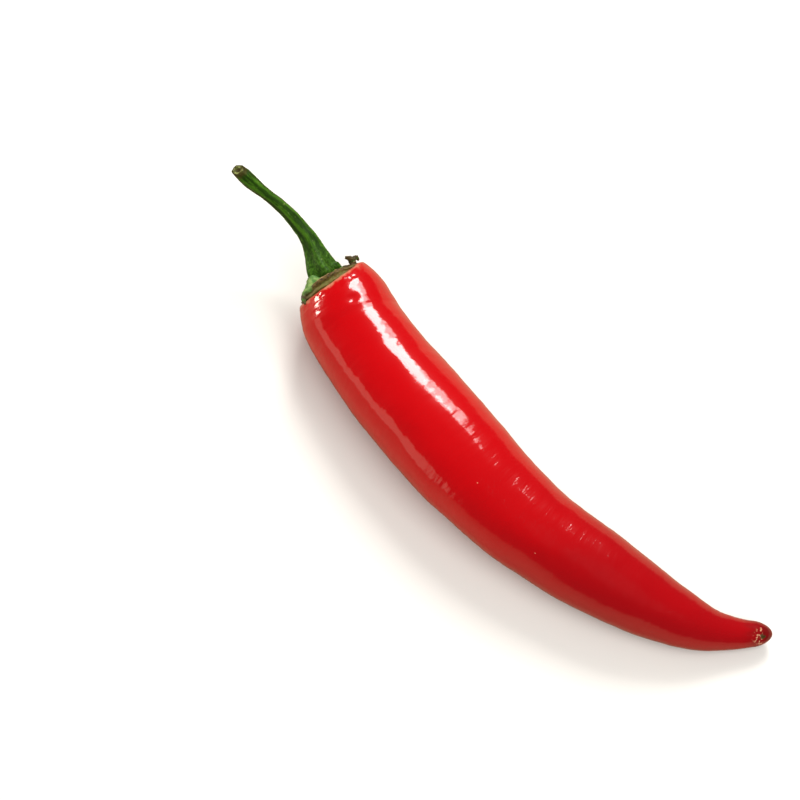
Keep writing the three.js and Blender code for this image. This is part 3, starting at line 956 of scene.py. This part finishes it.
class CHILLI_OT_stem(bpy.types.Operator):
    """Grow the ribbed stem on the calyx"""

    bl_idname = "chilli.stem"
    bl_label = "Stem"

    def execute(self, context):
        sizes = context.scene.chilli_stem
        calyx = context.scene.chilli_calyx
        growth = Growth(context.scene.chilli_pod)
        base = 2 * calyx.gap + calyx.seat
        path = Path([growth.from_crown(
            (sway * sizes.sway, lift * sizes.lift, base + share * sizes.length))
            for share, sway, lift in STEM_POINTS])
        whole = path.length
        share = np.linspace(0, 1, 300)
        girth = smooth_through(stem_girths(sizes), share) / 2
        pith = sizes.pith / 2
        foot = -1.0 * MM
        outline = [(foot, 0), (foot, girth[0] * 0.6), (foot, girth[0])]
        outline += list(zip(share * whole, girth))[1:-1]
        edge_long, edge_round = 0.5 * MM, 0.45 * MM
        outline += [
            (whole - edge_long * (1 - math.sin(t)), girth[-1] - edge_round * (1 - math.cos(t)))
            for t in np.linspace(0, math.pi / 2, 7)]
        outline += [(whole - 0.05 * MM, (girth[-1] + pith) / 2), (whole - 0.1 * MM, pith),
                    (whole - 0.5 * sizes.pith_depth, 0.8 * pith),
                    (whole - sizes.pith_depth, 0.5 * pith), (whole - sizes.pith_depth, 0)]
        along, radius = np.array(outline).T
        centre, side, top = frames_along(path, along, growth.axes[1])
        slant = sizes.slant * ease(whole - 3 * MM, whole, along)
        top = top - np.cross(side, top) * slant[:, None]
        near_end = ease(0.3 * MM, 1.0 * MM, radius)
        fields = {
            "side": side, "top": top, "radius": radius, "along": along,
            "lobe": (0.04 + 0.13 * fade(along, 9 * MM)) * near_end,
            "twist": 1.1 * along / whole}
        stem = grow(
            "stem_stalk", centre, fields, sides=160, lobes=5.0, lobe_turn=calyx.lobe_turn,
            swell_size=4 * MM, swell_height=0.22 * MM, dimple_size=1.2 * MM,
            dimple_height=0.05 * MM, wrinkle_spacing=6 * MM, wrinkle_length=0.5 * MM,
            wrinkle_height=0.12 * MM, seed=2.0,
            skin=stem_material(context.scene.chilli_colours, whole))
        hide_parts("stem")
        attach(stem, "root")
        return {"FINISHED"}


def place_facing(item, place, target):
    """Puts a light or camera at a place, looking at a target."""
    place, target = Vector(place), Vector(target)
    turned = (place - target).to_track_quat("Z", "Y").to_matrix().to_4x4()
    item.matrix_world = Matrix.Translation(place) @ turned
    bpy.context.scene.collection.objects.link(item)


def softbox(name, target, azimuth, elevation, distance, size, power, gloss=True, warm=0.0):
    """A rectangular soft light seen from the target at an azimuth and elevation in degrees."""
    data = bpy.data.lights.new(name, "AREA")
    data.shape = "RECTANGLE"
    data.size, data.size_y = size
    data.energy = power
    data.color = (1.0, 0.985 - 0.5 * warm, 0.965 - warm)
    light = bpy.data.objects.new(name, data)
    light.visible_glossy, light.visible_camera = gloss, False
    a, e = math.radians(azimuth), math.radians(elevation)
    way = Vector((math.cos(a) * math.cos(e), math.sin(a) * math.cos(e), math.sin(e)))
    place_facing(light, Vector(target) + way * distance, target)


class CHILLI_OT_stage(bpy.types.Operator):
    """Lay the floor and set the lights and the camera"""

    bl_idname = "chilli.stage"
    bl_label = "Stage"

    def execute(self, context):
        scene = context.scene
        bpy.ops.mesh.primitive_plane_add(size=4)
        floor = context.object
        floor.name = "floor"
        floor.data.materials.append(floor_material(scene.chilli_colours))

        growth = Growth(scene.chilli_pod)
        azimuth, elevation = math.radians(40), math.radians(68)
        back = Vector((math.sin(azimuth) * math.cos(elevation),
                       -math.cos(azimuth) * math.cos(elevation), math.sin(elevation)))
        target = Vector((growth.step[0] + 25.4 * MM, growth.step[1] - 7.05 * MM, 0))
        data = bpy.data.cameras.new("camera")
        data.lens = 100
        data.sensor_width = 36
        camera = bpy.data.objects.new("camera", data)
        place_facing(camera, target + back * 467 * MM, target)
        scene.camera = camera

        scene.view_settings.view_transform = "Standard"
        world = bpy.data.worlds.new("studio")
        world.use_nodes = True
        room = world.node_tree
        rays = add(room, "ShaderNodeLightPath").outputs
        glow = maths(room, "MULTIPLY_ADD", rays["Is Camera Ray"], 0.05, 0.45)
        glow = maths(room, "MULTIPLY_ADD", rays["Is Glossy Ray"], -0.4, glow)
        backdrop = room.nodes["Background"]
        backdrop.inputs["Color"].default_value = (1, 1, 1, 1)
        room.links.new(glow, backdrop.inputs["Strength"])
        scene.world = world
        shoulder = (-0.022, 0.003, 0.02)
        softbox("key_softbox", shoulder, 117, 44, 0.6, (0.165, 0.26), 3.2)
        softbox("key_tail", shoulder, 99, 48, 0.6, (0.1, 0.28), 1.0)
        softbox("fill_overhead", (0, 0, 0), 0, 88, 1.2, (1.2, 1.2), 1.5, gloss=False)
        softbox("fill_tip", (0.028, -0.004, 0.01), -20, 62, 0.26, (0.2, 0.2), 0.55, gloss=False)
        softbox("fill_low", (-0.01, -0.01, 0.015), -125, 6, 0.7, (0.5, 0.22), 0.5, warm=0.35)
        softbox("edge_left", (-0.04, 0, 0.015), -160, 8, 0.5, (0.14, 0.1), 1.2, warm=0.2)
        return {"FINISHED"}


GROUPS = (
    ("chilli_pod", ChilliPodSizes, "chilli.pod"),
    ("chilli_calyx", ChilliCalyxSizes, "chilli.calyx"),
    ("chilli_stem", ChilliStemSizes, "chilli.stem"),
    ("chilli_colours", ChilliColours, "chilli.stage"),
)


class CHILLI_PT_panel(bpy.types.Panel):
    """The sizes, the colours and the steps, in order"""

    bl_idname = "CHILLI_PT_panel"
    bl_label = "Red chilli pepper"
    bl_space_type = "VIEW_3D"
    bl_region_type = "UI"
    bl_category = "Chilli"

    def draw(self, context):
        for group, kind, operator in GROUPS:
            column = self.layout.column(align=True)
            for name in kind.__annotations__:
                column.prop(getattr(context.scene, group), name)
            column.operator(operator)


CLASSES = (
    *(kind for _, kind, _ in GROUPS), CHILLI_OT_pod, CHILLI_OT_calyx, CHILLI_OT_stem,
    CHILLI_OT_stage, CHILLI_PT_panel,
)


def register():
    for item in CLASSES:
        bpy.utils.register_class(item)
    for name, kind, _ in GROUPS:
        setattr(bpy.types.Scene, name, bpy.props.PointerProperty(type=kind))


def unregister():
    for name, _, _ in GROUPS:
        delattr(bpy.types.Scene, name)
    for item in reversed(CLASSES):
        bpy.utils.unregister_class(item)


def main():
    register()
    bpy.ops.chilli.pod()
    bpy.ops.chilli.calyx()
    bpy.ops.chilli.stem()
    bpy.ops.chilli.stage()


if __name__ == "__main__":
    main()
